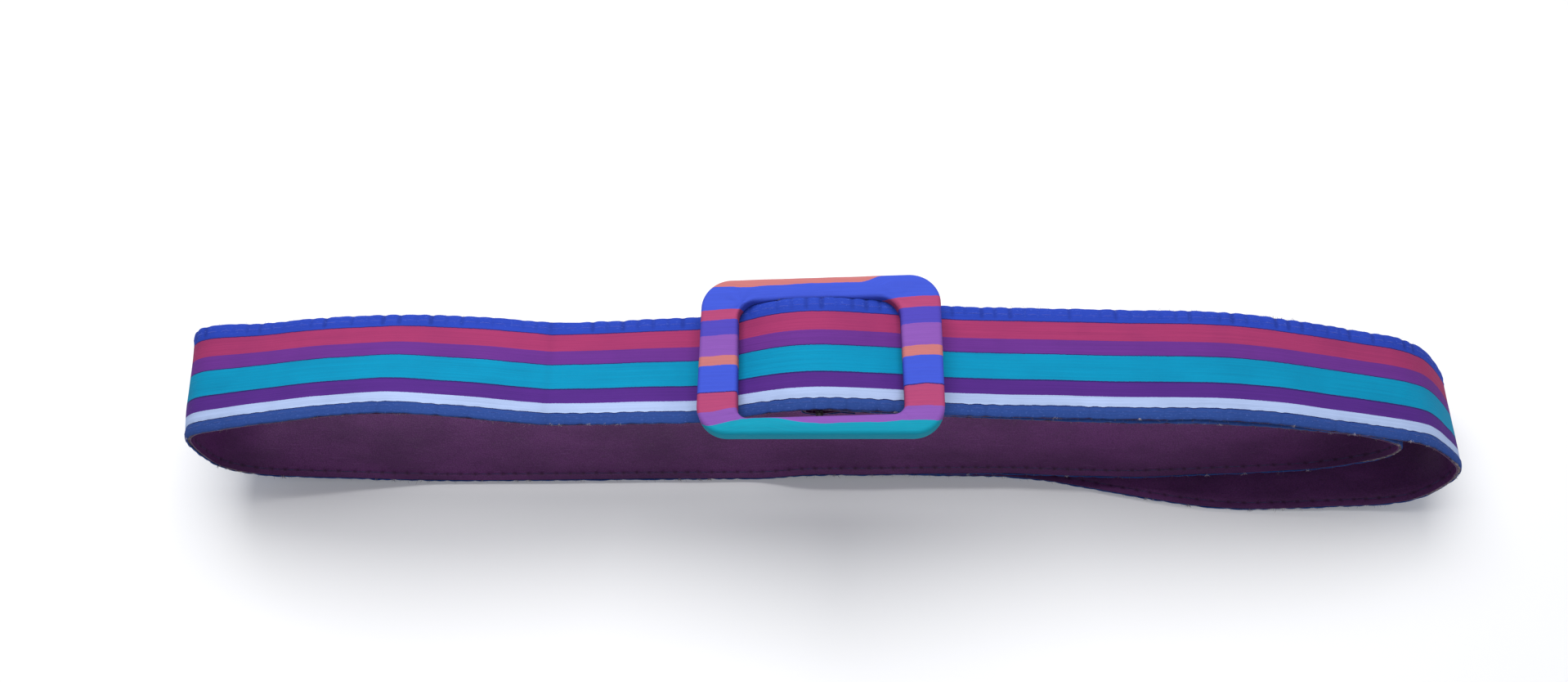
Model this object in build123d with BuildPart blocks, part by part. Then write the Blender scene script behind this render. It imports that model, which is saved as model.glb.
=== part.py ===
from build123d import *
import math
import os

# A striped fabric strap, closed in a flat loop by a covered slide buckle.
# X runs along the strap, Y across it, Z up. The lower run rests on Z = 0.
# The strap starts at the short flap behind the buckle bar, goes right, round the right end, back along
# the bottom, round the left end, over the bar, and becomes the loose tail that lies outside the first lap.

# ---- driving dimensions, mm ----
strap_width = 38.0
face_thickness = 0.5
core_thickness = 0.8
lining_thickness = 0.5
tail_skew = 2.0            # degrees that the tail wanders towards -Y
tail_gap = 1.2             # between the strap's end and the tail, under the buckle's right bar

stitch_inset = 2.5         # from the strap's edge to the stitch line
thread_width = 0.9
thread_depth = 0.3

bar_x = -7.0
bar_z = 79.3
bar_radius = 1.2
bar_clearance = 0.05
buckle_tilt = 4.5          # degrees, right side up

frame_left = -39.0         # from the bar, along the buckle, at the near corners
frame_right = 39.5
frame_lean = 0.8           # how much further right the far corners are
frame_left_far = 26.5      # from the bar's middle to the frame's corners, across the strap
frame_left_near = 27.7
frame_right_far = 26.3
frame_right_near = 29.2
frame_corner = 10.0
frame_thickness = 5.2
frame_back = -0.2          # back face, from the bar's axis
frame_edge_radius = 2.2
window_centre = 0.5        # from the bar, along the buckle
window_width = 53.0
window_height = 41.7
window_offset = -1.35      # of the window's middle, across the strap
window_corner = 3.5
bar_seat = 3.5             # how far the bar reaches into the frame at each end
lap_stitch_distance = 6.0  # from the bar to the row that holds the flap
cover_thickness = 0.5
shell_thickness = 0.6
plate_thickness = 0.8
bar_length = window_height + 2 * bar_seat

# ---- values that follow ----
half_thickness = (face_thickness + core_thickness + lining_thickness) / 2
core_outer = half_thickness - face_thickness
core_inner = core_outer - core_thickness
stitch_y = strap_width / 2 - stitch_inset

# Corners of the strap's centre line in X and Z, and the bend radius at each corner between the ends.
fold_radius = 2.4
strap_route = [
    (5.0, 77.5),           # flap end
    (-0.5, 78.9),
    (-6.0, 76.8),
    (-12.0, 76.8),         # fold round the bar
    (-12.0, 81.8),
    (-4.0, 81.8),
    (36.0, 73.9),          # down under the tail
    (95.0, 68.9),
    (128.0, 68.9),
    (180.0, 55.0),         # right end, inside the tail
    (203.0, 36.0),
    (180.0, 16.5),
    (118.0, 5.4),          # lower run, over the tail
    (-8.0, 5.4),
    (-26.0, 0.9),          # steps down past the tail's end
    (-150.0, 0.9),
    (-222.9, 9.0),         # left end
    (-222.9, 57.0),
    (-150.0, 78.0),
    (-95.0, 68.9),
    (-41.5, 68.9),         # up under the buckle's left bar
    (-15.0, 86.4),         # crown over the bar
    (29.7, 77.57),
]
strap_radii = [3.0, 3.0, fold_radius, fold_radius, 12.0, 80.0, 300.0, 140.0, 60.0, 12.0, 50.0,
               150.0, 14.0, 14.0, 150.0, 18.0, 14.0, 150.0, 200.0, 25.0, 42.0]

# The tail's route, measured from the upright line that it turns about.
tail_pivot_x = 50.0
tail_start_x = strap_route[-1][0] + tail_gap
tail_route = [
    (tail_start_x - tail_pivot_x, 77.33),
    (38.0 - tail_pivot_x, 75.93),
    (95.0 - tail_pivot_x, 71.9),
    (130.0 - tail_pivot_x, 71.9),
    (204.0 - tail_pivot_x, 51.5),      # right end, outside the first lap
    (226.0 - tail_pivot_x, 28.0),
    (212.0 - tail_pivot_x, 6.0),
    (160.0 - tail_pivot_x, 0.9),
    (-14.0 - tail_pivot_x, 0.9),       # square end under the lower run
]
tail_radii = [40.0, 200.0, 160.0, 60.0, 14.0, 24.0, 200.0]

# Planes: the strap's profile, the tail's profile, and the buckle seen from its front.
strap_plane = Plane.XZ
skew = math.radians(tail_skew)
tail_plane = Plane(
    origin=(tail_pivot_x, 0, 0),
    x_dir=(math.cos(skew), -math.sin(skew), 0),
    z_dir=(-math.sin(skew), -math.cos(skew), 0),
)
tilt = math.radians(buckle_tilt)
buckle_plane = Plane(
    origin=(bar_x, 0, bar_z),
    x_dir=(math.cos(tilt), 0, math.sin(tilt)),
    z_dir=(-math.sin(tilt), 0, math.cos(tilt)),
)


def leg_directions(route):
    """Unit vectors along the straight legs between a route's corners."""
    corners = [Vector(x, z) for x, z in route]
    return [(end - start).normalized() for start, end in zip(corners, corners[1:])]


def outward(direction):
    """The side that the striped face is on, for travel in the given direction."""
    return Vector(-direction.Y, direction.X)


def parallel_route(route, radii, shift):
    """The route and its radii moved sideways by shift, positive towards the striped face."""
    directions = leg_directions(route)
    normals = [outward(direction) for direction in directions]
    corners = [Vector(x, z) for x, z in route]
    moved = [corners[0] + normals[0] * shift]
    for corner, before, after in zip(corners[1:-1], normals, normals[1:]):
        moved.append(corner + (before + after) * (shift / (1 + before.dot(after))))
    moved.append(corners[-1] + normals[-1] * shift)
    moved_radii = []
    for radius, before, after in zip(radii, directions, directions[1:]):
        turns_inward = before.cross(after).Z < 0
        moved_radii.append(radius + shift if turns_inward else radius - shift)
    return moved, moved_radii


def layer_outline(route, radii, low, high):
    """Closed outline of the layer between two distances from the centre line."""
    low_points, low_radii = parallel_route(route, radii, low)
    high_points, high_radii = parallel_route(route, radii, high)
    FilletPolyline(*low_points, radius=low_radii)
    FilletPolyline(*high_points, radius=high_radii)
    Line(low_points[0], high_points[0])
    Line(low_points[-1], high_points[-1])


def layer(plane, route, radii, low, high):
    """One layer of the strap, across its whole width."""
    with BuildPart() as piece:
        with BuildSketch(plane):
            with BuildLine():
                layer_outline(route, radii, low, high)
            make_face()
        extrude(amount=strap_width / 2, both=True)
    return piece.part


def stitch_line(plane, route, radii, side):
    """Top and bottom thread along one edge. side is +1 towards +Y and -1 towards -Y."""
    edge_plane = plane.offset(-side * stitch_y)
    with BuildPart() as threads:
        for low, high in (
            (half_thickness - thread_depth, half_thickness),
            (-half_thickness, thread_depth - half_thickness),
        ):
            with BuildSketch(edge_plane):
                with BuildLine():
                    layer_outline(route, radii, low, high)
                make_face()
            extrude(amount=thread_width / 2, both=True)
    return threads.part


def cross_stitches(plane, route, places):
    """Threads across the strap. Each place is a leg, the distance along it and the side of the strap."""
    directions = leg_directions(route)
    length = 2 * stitch_y - thread_width
    with BuildPart() as threads:
        for leg, distance, side in places:
            along = directions[leg]
            depth = half_thickness - thread_depth / 2
            centre = Vector(*route[leg]) + along * distance + outward(along) * (side * depth)
            with BuildSketch(plane):
                with Locations((centre.X, centre.Y)):
                    Rectangle(thread_width, thread_depth, rotation=math.degrees(math.atan2(along.Y, along.X)))
            extrude(amount=length / 2, both=True)
    return threads.part


def leg_length(route, leg):
    """Distance between two corners of a route."""
    return (Vector(*route[leg + 1]) - Vector(*route[leg])).length


os.makedirs("parts", exist_ok=True)

# ---- stitching of the strap ----
with BuildPart() as strap_far_stitching:
    add(stitch_line(strap_plane, strap_route, strap_radii, 1))
strap_far_stitching.part.label = "strap_far_stitching"
export_step(strap_far_stitching.part, "parts/strap_far_stitching.step")

with BuildPart() as strap_near_stitching:
    add(stitch_line(strap_plane, strap_route, strap_radii, -1))
strap_near_stitching.part.label = "strap_near_stitching"
export_step(strap_near_stitching.part, "parts/strap_near_stitching.step")

# The row that holds the flap down shows on the lap above and under the flap.
flap_leg = 0
lap_leg = 5
with BuildPart() as fold_stitching:
    add(cross_stitches(strap_plane, strap_route, [
        (flap_leg, leg_length(strap_route, flap_leg) / 2, 1),
        (lap_leg, lap_stitch_distance, 1),
    ]))
fold_stitching.part.label = "fold_stitching"
export_step(fold_stitching.part, "parts/fold_stitching.step")

# ---- layers of the strap, outside to inside ----
with BuildPart() as strap_face:
    add(layer(strap_plane, strap_route, strap_radii, core_outer, half_thickness))
    add(strap_far_stitching.part, mode=Mode.SUBTRACT)
    add(strap_near_stitching.part, mode=Mode.SUBTRACT)
    add(fold_stitching.part, mode=Mode.SUBTRACT)
strap_face.part.label = "strap_face"
export_step(strap_face.part, "parts/strap_face.step")

with BuildPart() as strap_core:
    add(layer(strap_plane, strap_route, strap_radii, core_inner, core_outer))
strap_core.part.label = "strap_core"
export_step(strap_core.part, "parts/strap_core.step")

with BuildPart() as strap_lining:
    add(layer(strap_plane, strap_route, strap_radii, -half_thickness, core_inner))
    add(strap_far_stitching.part, mode=Mode.SUBTRACT)
    add(strap_near_stitching.part, mode=Mode.SUBTRACT)
strap_lining.part.label = "strap_lining"
export_step(strap_lining.part, "parts/strap_lining.step")

# ---- stitching of the tail ----
with BuildPart() as tail_far_stitching:
    add(stitch_line(tail_plane, tail_route, tail_radii, 1))
tail_far_stitching.part.label = "tail_far_stitching"
export_step(tail_far_stitching.part, "parts/tail_far_stitching.step")

with BuildPart() as tail_near_stitching:
    add(stitch_line(tail_plane, tail_route, tail_radii, -1))
tail_near_stitching.part.label = "tail_near_stitching"
export_step(tail_near_stitching.part, "parts/tail_near_stitching.step")

last_leg = len(tail_route) - 2
end_stitch_distance = leg_length(tail_route, last_leg) - stitch_inset
with BuildPart() as tail_end_stitching:
    add(cross_stitches(tail_plane, tail_route, [
        (last_leg, end_stitch_distance, 1),
        (last_leg, end_stitch_distance, -1),
    ]))
tail_end_stitching.part.label = "tail_end_stitching"
export_step(tail_end_stitching.part, "parts/tail_end_stitching.step")

# ---- layers of the tail ----
with BuildPart() as tail_face:
    add(layer(tail_plane, tail_route, tail_radii, core_outer, half_thickness))
    add(tail_far_stitching.part, mode=Mode.SUBTRACT)
    add(tail_near_stitching.part, mode=Mode.SUBTRACT)
    add(tail_end_stitching.part, mode=Mode.SUBTRACT)
tail_face.part.label = "tail_face"
export_step(tail_face.part, "parts/tail_face.step")

with BuildPart() as tail_core:
    add(layer(tail_plane, tail_route, tail_radii, core_inner, core_outer))
tail_core.part.label = "tail_core"
export_step(tail_core.part, "parts/tail_core.step")

with BuildPart() as tail_lining:
    add(layer(tail_plane, tail_route, tail_radii, -half_thickness, core_inner))
    add(tail_far_stitching.part, mode=Mode.SUBTRACT)
    add(tail_near_stitching.part, mode=Mode.SUBTRACT)
    add(tail_end_stitching.part, mode=Mode.SUBTRACT)
tail_lining.part.label = "tail_lining"
export_step(tail_lining.part, "parts/tail_lining.step")


# ---- buckle ----
def frame_body(inset, bottom, top, edge_radius):
    """The buckle frame with both its outlines and its front moved in by inset."""
    with BuildPart() as body:
        with BuildSketch(buckle_plane.offset(bottom)):
            with BuildLine() as outline:
                FilletPolyline(
                    (frame_left, -frame_left_near),
                    (frame_right, -frame_right_near),
                    (frame_right + frame_lean, frame_right_far),
                    (frame_left + frame_lean, frame_left_far),
                    radius=frame_corner,
                    close=True,
                )
            make_face()
            with Locations((window_centre, window_offset)):
                RectangleRounded(window_width, window_height, window_corner, mode=Mode.SUBTRACT)
            if inset > 0:
                offset(amount=-inset)
        extrude(amount=top - bottom)
        if edge_radius > 0:
            front = body.faces().sort_by(Axis(buckle_plane.origin, buckle_plane.z_dir))[-1]
            fillet(front.edges(), radius=edge_radius)
    return body.part


frame_front = frame_back + frame_thickness
cavity_inset = cover_thickness + shell_thickness

bar_plane = Plane.XZ.offset(-window_offset)
with BuildPart() as centre_bar:
    with BuildSketch(bar_plane):
        with Locations((bar_x, bar_z)):
            Circle(bar_radius)
    extrude(amount=bar_length / 2, both=True)
centre_bar.part.label = "centre_bar"
export_step(centre_bar.part, "parts/centre_bar.step")

with BuildPart() as bar_bore:
    with BuildSketch(bar_plane):
        with Locations((bar_x, bar_z)):
            Circle(bar_radius + bar_clearance)
    extrude(amount=bar_length / 2 + bar_clearance, both=True)

with BuildPart() as buckle_cover:
    add(frame_body(0, frame_back, frame_front, frame_edge_radius))
    add(
        frame_body(
            cover_thickness,
            frame_back,
            frame_front - cover_thickness,
            frame_edge_radius - cover_thickness,
        ),
        mode=Mode.SUBTRACT,
    )
    add(bar_bore.part, mode=Mode.SUBTRACT)
buckle_cover.part.label = "buckle_cover"
export_step(buckle_cover.part, "parts/buckle_cover.step")

with BuildPart() as buckle_shell:
    add(
        frame_body(
            cover_thickness,
            frame_back,
            frame_front - cover_thickness,
            frame_edge_radius - cover_thickness,
        )
    )
    add(
        frame_body(
            cavity_inset,
            frame_back,
            frame_front - cavity_inset,
            frame_edge_radius - cavity_inset,
        ),
        mode=Mode.SUBTRACT,
    )
    add(bar_bore.part, mode=Mode.SUBTRACT)
buckle_shell.part.label = "buckle_shell"
export_step(buckle_shell.part, "parts/buckle_shell.step")

with BuildPart() as buckle_back_plate:
    add(frame_body(cavity_inset, frame_back, frame_back + plate_thickness, 0))
    add(bar_bore.part, mode=Mode.SUBTRACT)
buckle_back_plate.part.label = "buckle_back_plate"
export_step(buckle_back_plate.part, "parts/buckle_back_plate.step")
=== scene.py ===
import math

import bpy
import numpy as np
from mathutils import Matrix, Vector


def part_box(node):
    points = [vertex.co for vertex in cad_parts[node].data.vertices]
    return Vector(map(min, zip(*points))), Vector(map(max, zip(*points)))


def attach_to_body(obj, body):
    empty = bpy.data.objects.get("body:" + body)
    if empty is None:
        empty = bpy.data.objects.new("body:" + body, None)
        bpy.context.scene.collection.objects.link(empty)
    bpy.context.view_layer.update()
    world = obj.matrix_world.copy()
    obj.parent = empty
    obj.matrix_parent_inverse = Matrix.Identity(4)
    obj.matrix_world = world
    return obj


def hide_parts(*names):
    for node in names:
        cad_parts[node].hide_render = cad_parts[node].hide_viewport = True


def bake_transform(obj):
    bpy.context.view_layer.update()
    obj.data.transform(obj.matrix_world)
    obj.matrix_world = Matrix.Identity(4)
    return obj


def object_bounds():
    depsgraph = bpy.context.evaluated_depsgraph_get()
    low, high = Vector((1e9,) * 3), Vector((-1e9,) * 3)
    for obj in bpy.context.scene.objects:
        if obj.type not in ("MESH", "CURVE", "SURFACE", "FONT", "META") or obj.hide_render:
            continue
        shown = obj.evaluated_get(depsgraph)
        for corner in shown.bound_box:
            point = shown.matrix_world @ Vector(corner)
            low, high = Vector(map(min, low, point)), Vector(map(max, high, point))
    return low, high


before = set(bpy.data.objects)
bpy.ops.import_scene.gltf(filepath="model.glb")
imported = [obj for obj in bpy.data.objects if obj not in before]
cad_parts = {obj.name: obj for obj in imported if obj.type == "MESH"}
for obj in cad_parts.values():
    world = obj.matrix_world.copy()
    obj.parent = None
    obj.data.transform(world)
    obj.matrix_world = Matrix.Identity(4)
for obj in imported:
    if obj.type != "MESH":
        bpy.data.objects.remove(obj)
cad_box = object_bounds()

# A striped fabric strap, closed in a flat loop by a slide buckle that is covered in striped cloth.
# Lengths are in millimetres until new_object() turns them into metres. X runs along the strap,
# Y across it and Z up. "Far" is the +Y edge, with the blue stripe, and "near" is the -Y edge, with the
# navy one.

MM = 0.001
scene = bpy.context.scene

# ---- driving values ----
STRAP_WIDTH = 38.0
HALF_WIDTH = STRAP_WIDTH / 2
HALF_THICKNESS = 0.9
CORE_OUTER = 0.4            # from the centre line to the stiffener's two faces
CORE_INNER = -0.4
STEP = 0.75                 # sample spacing along the strap
STITCH_INSET = 2.5
STITCH_PITCH = 5.0
CREVICE_INSET = 3.9         # from the near edge to the groove beside the pale stripe
THREAD_RADIUS = 0.19

# The strap's route, from the flap behind the buckle bar to the tail's square end under the lower run:
# x, z, bend radius, roll in degrees (positive lifts the far edge off the loop), shift towards +Y.
ROUTE = [
    (5.0, 77.5, 0.0, -4.0, 0.0),           # flap end
    (-0.5, 78.9, 3.0, -4.0, 0.0),
    (-6.0, 76.8, 3.0, -4.0, 0.0),
    (-12.0, 76.8, 2.4, -2.0, 0.0),         # fold round the bar
    (-12.0, 81.8, 2.4, 2.0, 0.0),
    (-4.0, 81.8, 12.0, 4.5, -0.4),
    (36.0, 73.9, 80.0, 2.5, 0.0),
    (95.0, 68.9, 300.0, 1.0, -0.6),
    (128.0, 68.9, 140.0, 1.0, -0.6),
    (180.0, 55.0, 60.0, 0.0, -0.3),        # right end, inside the tail
    (207.7, 37.5, 12.0, 0.0, 0.0),
    (180.0, 16.5, 50.0, 0.0, 0.0),
    (118.0, 5.4, 150.0, 0.0, 0.3),
    (60.0, 5.4, 0.0, 0.0, 1.7),
    (-8.0, 5.4, 14.0, 0.0, 1.2),
    (-26.0, 0.9, 14.0, 0.0, 1.2),          # steps down past the tail's end
    (-150.0, 0.9, 150.0, 0.0, 0.4),
    (-222.9, 9.0, 18.0, 3.0, 0.0),         # left end
    (-222.9, 57.0, 14.0, 9.0, 0.0),
    (-190.0, 66.48, 0.0, -4.5, -0.7),
    (-150.0, 78.0, 150.0, -10.0, -0.5),
    (-95.0, 68.7, 35.0, -5.0, -1.8),
    (-41.5, 68.9, 25.0, -0.5, -0.6),       # up under the buckle's left bar
    (-15.0, 86.4, 42.0, 4.5, -0.9),        # crown over the bar
    (38.0, 75.93, 40.0, 3.0, -0.3),
    (95.0, 71.9, 200.0, 4.0, 0.0),
    (130.0, 71.9, 160.0, 4.0, 0.0),
    (204.0, 51.5, 60.0, 3.0, -1.5),        # right end, outside the first lap
    (226.7, 28.3, 14.0, 0.0, -5.6),
    (212.0, 6.0, 24.0, 0.0, -10.3),
    (160.0, 0.9, 200.0, 0.0, -10.8),
    (60.0, 0.9, 0.0, 0.0, 2.2),
    (-14.0, 0.9, 0.0, 0.0, 4.5),           # square end under the lower run
]
FOLD_LENGTH = 48.0          # the tight fold round the bar keeps its exact arcs
FLOOR_GAP = 0.02            # the cloth is pressed flat where it meets the floor
LEFT_SKEW = (-3.4, 0.0, 0.0)     # how the near edge stands out at the left end
RIGHT_SKEW = (6.4, 0.0, -9.0)    # how the far edge stands out and down at the right end
SPLIT_X = -40.0             # the lap's cloth and the tail's cloth meet under the buckle's left bar
CREASE_X = -96.0            # the one sharp crease, left of the buckle
RELAX_ROUNDS = 50
ARC_STEPS = 24

# How the thread and the folds work the cloth, in millimetres.
FACE_WAVE = 0.22            # slow undulation of the whole strap
FACE_GRAIN = 0.05           # the quicker unevenness on it
PAD_HEIGHT = 0.22           # the raised band between the needle holes
PAD_INSET = 2.2
PUCKER_DEPTH = 0.26
CREVICE_DEPTH = 0.30
CREVICE_WIDTH = 0.4
CREASE_DEPTH = 0.30
CREASE_WIDTH = 2.6
EDGE_TURN_DEPTH = 0.30      # how far the face turns down at its cut edge
EDGE_TURN_WIDTH = 0.45
DIMPLE_DEPTH = 0.28         # the lining at a needle hole
SEAM_LINE_DEPTH = 0.10      # the lining between needle holes
NEAR_PUCKER = 0.45          # the navy edge is drawn in less than the blue one


# ---- small helpers ----
def srgb(red, green, blue):
    """Linear colour from 0-255 display values."""
    def linear(value):
        value = value / 255
        return value / 12.92 if value <= 0.04045 else ((value + 0.055) / 1.055) ** 2.4
    return (linear(red), linear(green), linear(blue), 1.0)


def ease(t):
    """0 to 1 with flat ends."""
    t = np.clip(t, 0, 1)
    return t * t * (3 - 2 * t)


def unit(vectors):
    """Each vector scaled to length 1."""
    return vectors / np.linalg.norm(vectors, axis=1, keepdims=True)


def waves(u, v, scale, seed, count=6):
    """Smooth undulation, about -1 to 1, over two lengths, with features about scale long."""
    draw = np.random.default_rng(seed)
    total = 0
    for _ in range(count):
        angle = draw.uniform(0, math.tau)
        pitch = scale * draw.uniform(0.7, 1.6)
        phase = draw.uniform(0, math.tau)
        total = total + np.sin(math.tau * (u * math.cos(angle) + v * math.sin(angle)) / pitch + phase)
    return total / (1.4 * math.sqrt(count))


def new_object(name, vertices, faces, attributes=None, smooth=True):
    """A mesh object from points in millimetres, with float attributes on its points."""
    mesh = bpy.data.meshes.new(name)
    mesh.from_pydata((np.asarray(vertices) * MM).tolist(), [], faces)
    for key, values in (attributes or {}).items():
        layer = mesh.attributes.new(key, "FLOAT", "POINT")
        layer.data.foreach_set("value", np.asarray(values, np.float32))
    if smooth:
        mesh.polygons.foreach_set("use_smooth", [True] * len(mesh.polygons))
    mesh.update()
    item = bpy.data.objects.new(name, mesh)
    scene.collection.objects.link(item)
    return item


def grid_faces(rows, columns, close_rows=False, close_columns=False):
    """Quads of a grid whose points are numbered row by row."""
    faces = []
    for row in range(rows if close_rows else rows - 1):
        below = (row + 1) % rows
        for column in range(columns if close_columns else columns - 1):
            beside = (column + 1) % columns
            faces.append((
                row * columns + column, below * columns + column,
                below * columns + beside, row * columns + beside,
            ))
    return faces


def capped_faces(rows, columns, start=0):
    """Faces of a closed tube with its two ends, whose points are numbered from start."""
    faces = grid_faces(rows, columns, close_columns=True)
    faces.append(tuple(range(columns)))
    faces.append(tuple((rows - 1) * columns + column for column in range(columns))[::-1])
    return [tuple(start + corner for corner in face) for face in faces]


# ---- the strap's line ----
def rounded_line(stations):
    """Fine points along straight legs joined by tangent arcs, and each station's place among them."""
    corners = np.array([row[:2] for row in stations])
    points = [corners[0]]
    marks = [0]
    for index in range(1, len(stations) - 1):
        before, corner, after = corners[index - 1:index + 2]
        arriving = (corner - before) / np.linalg.norm(corner - before)
        leaving = (after - corner) / np.linalg.norm(after - corner)
        turn = math.atan2(
            arriving[0] * leaving[1] - arriving[1] * leaving[0],
            float(arriving @ leaving),
        )
        radius = max(stations[index][2], 0.01)
        start = corner - arriving * radius * math.tan(abs(turn) / 2)
        spoke = np.array([arriving[1], -arriving[0]]) * math.copysign(radius, turn)
        centre = start - spoke
        for step in range(ARC_STEPS + 1):
            angle = turn * step / ARC_STEPS
            points.append(centre + np.array([
                spoke[0] * math.cos(angle) - spoke[1] * math.sin(angle),
                spoke[0] * math.sin(angle) + spoke[1] * math.cos(angle),
            ]))
        marks.append(len(points) - 1 - ARC_STEPS // 2)
    points.append(corners[-1])
    marks.append(len(points) - 1)
    return np.array(points), marks


def lengths_along(points):
    """Distance from the first point to each point."""
    return np.concatenate([[0], np.cumsum(np.linalg.norm(np.diff(points, axis=0), axis=1))])


class StrapLine:
    """The strap's centre line with, at each sample, its travel, across and outward directions."""

    def __init__(self, stations):
        fine, marks = rounded_line(stations)
        fine_length = lengths_along(fine)
        station_length = fine_length[marks]
        count = int(fine_length[-1] / STEP) + 1
        self.length = np.linspace(0, fine_length[-1], count)
        line = np.stack([
            np.interp(self.length, fine_length, fine[:, axis]) for axis in (0, 1)
        ], axis=1)
        line = self.relaxed(line)
        roll = self.eased(station_length, [row[3] for row in stations])
        shift = self.eased(station_length, [row[4] for row in stations])
        self.centre = np.stack([line[:, 0], shift, line[:, 1]], axis=1)
        self.travel = unit(np.gradient(self.centre, axis=0))
        level = unit(np.array([0.0, 1.0, 0.0]) - self.travel * self.travel[:, 1:2])
        out = np.cross(self.travel, level)
        angle = np.radians(roll)[:, None]
        self.across = level * np.cos(angle) + out * np.sin(angle)
        self.outward = np.cross(self.travel, self.across)
        left_bend = self.length[np.argmin(self.centre[:, 0])]
        right_bend = self.length[np.argmax(self.centre[:, 0])]
        # Middle and reach along the strap, edge, spread across the strap from that edge, and move.
        self.skews = [
            (left_bend, 28.0, -1, 34.0, LEFT_SKEW),
            (right_bend, 22.0, 1, 22.0, RIGHT_SKEW),
        ]

    def relaxed(self, line):
        """Eases the change from straight to bent, as cloth does, but not in the fold round the bar."""
        freedom = 0.5 * ease((self.length - FOLD_LENGTH) / 20)[:, None]
        for _ in range(RELAX_ROUNDS):
            middle = (line[:-2] + line[2:]) / 2
            line[1:-1] += freedom[1:-1] * (middle - line[1:-1])
        return line

    def eased(self, station_length, values):
        """A value given at each station, eased between stations."""
        index = np.searchsorted(station_length, self.length, side="right") - 1
        index = np.clip(index, 0, len(values) - 2)
        start = station_length[index]
        span = station_length[index + 1] - start
        values = np.array(values)
        change = values[index + 1] - values[index]
        return values[index] + change * ease((self.length - start) / span)

    def place(self, length, across, height):
        """Points from distances along the strap and towards +Y, and a height off the centre line."""
        length, across, height = np.broadcast_arrays(length, across, height)

        def read(values):
            return np.stack([
                np.interp(length, self.length, values[:, axis]) for axis in range(3)
            ], axis=-1)

        middle_line = read(self.centre)
        points = (
            middle_line
            + read(self.across) * across[..., None]
            + read(self.outward) * height[..., None]
        )
        # A skew moves points down only where the strap is clear of the floor.
        clear = ease((middle_line[..., 2] - 3) / 20)
        level = np.ones_like(clear)
        fading = np.stack([level, level, clear], axis=-1)
        for middle, reach, side, spread, move in self.skews:
            share = np.exp(-((length - middle) / reach) ** 2)
            share = share * ease((side * across + HALF_WIDTH) / spread)
            points = points + share[..., None] * np.array(move) * fading
        points[..., 2] = np.maximum(points[..., 2], FLOOR_GAP)
        return points

    def up(self, length, across):
        """The direction off the strap's face at a place on it."""
        return self.place(length, across, 1.0) - self.place(length, across, 0.0)

    def length_at(self, x, after):
        """Where the line passes x going right, beyond a distance along it."""
        for index in range(len(self.length) - 1):
            if self.length[index] > after and self.centre[index, 0] < x <= self.centre[index + 1, 0]:
                return self.length[index]
        raise ValueError("the strap doesn't pass that x")


strap = StrapLine(ROUTE)
TOTAL_LENGTH = strap.length[-1]
split_length = strap.length_at(SPLIT_X, TOTAL_LENGTH * 0.5)


# ---- stitch holes and the puckers that the thread pulls at them ----
def hole_places(seed):
    """Distances along the strap of one row's needle holes."""
    draw = np.random.default_rng(seed)
    count = int(TOTAL_LENGTH / STITCH_PITCH) + 2
    places = np.cumsum(STITCH_PITCH * (1 + 0.07 * draw.standard_normal(count)))
    return places[places < TOTAL_LENGTH - 1.5]


HOLES = {1: hole_places(11), -1: hole_places(12)}     # far row, near row


def pucker(length, side, width):
    """1 at a needle hole, falling to 0 within about width."""
    holes = HOLES[side]
    index = np.clip(np.searchsorted(holes, length), 1, len(holes) - 1)
    nearest = np.minimum(np.abs(length - holes[index - 1]), np.abs(length - holes[index]))
    return np.exp(-((nearest / width) ** 2))


# How hard each hole pulls, so that the band isn't regular.
DEPTHS = {
    side: np.random.default_rng(20 + side).uniform(0.2, 1.25, len(holes)) for side, holes in HOLES.items()
}


def pull(length, side):
    """How hard the nearest hole pulls."""
    return np.interp(length, HOLES[side], DEPTHS[side])


# ---- surfaces of the strap's layers: height off the centre line ----
def crease_amount(length, across):
    """0 to 1, where the thread has drawn the striped cloth down."""
    amount = 0
    for side in (1, -1):
        inset = HALF_WIDTH - side * across
        band = 1 - ease((inset - 3.2) / (2.2 if side > 0 else 0.6))
        strength = 1.0 if side > 0 else NEAR_PUCKER
        amount = amount + strength * band * pucker(length, side, 1.0) * pull(length, side)
    return np.clip(amount, 0, 1.2)


def needle_mark(length, across):
    """0 to 1, where the needle went through the lining."""
    amount = 0
    for side in (1, -1):
        inset = HALF_WIDTH - side * across
        amount = amount + pucker(length, side, 0.8) * np.exp(-((inset - STITCH_INSET) / 0.6) ** 2)
    return amount


def cross_crease(length):
    """The one sharp crease that runs right across the strap, left of the buckle."""
    offset = (length - crease_length) / CREASE_WIDTH
    return np.exp(-offset * offset)


crease_length = strap.length_at(CREASE_X, TOTAL_LENGTH * 0.5)


def face_height(length, across):
    """Outer surface of the striped cloth."""
    inset = HALF_WIDTH - np.abs(across)
    height = HALF_THICKNESS + FACE_WAVE * waves(length, 0.6 * across, 30, 31)
    height = height + FACE_GRAIN * waves(length, across, 7, 32)
    height = height + PAD_HEIGHT * np.exp(-((inset - PAD_INSET) / 1.6) ** 2)
    height = height - PUCKER_DEPTH * crease_amount(length, across)
    crevice = np.exp(-((HALF_WIDTH + across - CREVICE_INSET) / CREVICE_WIDTH) ** 2)
    height = height - CREVICE_DEPTH * crevice * (1 - 0.7 * pucker(length, -1, 1.2))
    height = height - CREASE_DEPTH * cross_crease(length) * (1 + 0.2 * across / HALF_WIDTH)
    return height - EDGE_TURN_DEPTH * np.exp(-inset / EDGE_TURN_WIDTH)


def scallop(length, across):
    """How far the near crevice wanders across the cloth, drawn towards the edge at each hole."""
    near_it = np.exp(-((HALF_WIDTH + across - CREVICE_INSET) / 1.2) ** 2)
    return near_it * (0.35 * pucker(length, -1, 1.3) * pull(length, -1) - 0.12)


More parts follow.
